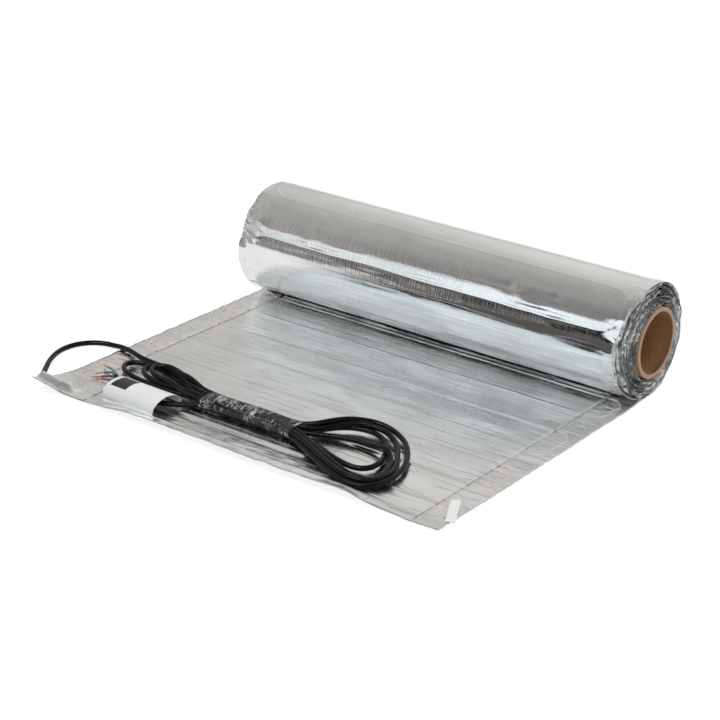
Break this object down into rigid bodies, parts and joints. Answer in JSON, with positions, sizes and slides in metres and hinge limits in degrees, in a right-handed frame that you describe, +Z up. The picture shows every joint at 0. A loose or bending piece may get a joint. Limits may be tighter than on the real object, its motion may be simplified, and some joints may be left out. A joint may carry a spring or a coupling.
{
  "type": "underfloor heating kit",
  "caption": "Foil heating mat wound on a cardboard core, its front part unrolled flat, with a bundled supply lead lying on it.",
  "frame": {"origin": "on the floor, under the middle of the mat and roll together, without the lead", "axes": "+X along the roll's axis, +Y from the mat's front edge towards the roll, +Z up"},
  "size_m": [0.5554, 0.4464, 0.1269],
  "materials": {
    "cardboard": "matte brown wound board",
    "foil": "bright creased foil",
    "cover_foil": "satin creased foil",
    "cable": "thin pinkish insulation",
    "sheath": "black lead sheath",
    "film": "wrinkled clear film",
    "label": "coated white label",
    "tag": "white tape",
    "green_insulation": "core insulation",
    "blue_insulation": "core insulation",
    "brown_insulation": "core insulation"
  },
  "bodies": {
    "root": {"core_tube": "cardboard", "foil_mat": "foil", "cover_foil": "cover_foil", "heating_cable": "cable", "lead_splice": "sheath", "joint_patch": "cover_foil", "corner_tag": "tag", "supply_lead": "sheath", "lead_hank": "sheath", "hank_wrap": "film", "lead_tail": "sheath", "lead_label": "label", "green_core": "green_insulation", "blue_core": "blue_insulation", "brown_core": "brown_insulation"}
  },
  "joints": []
}
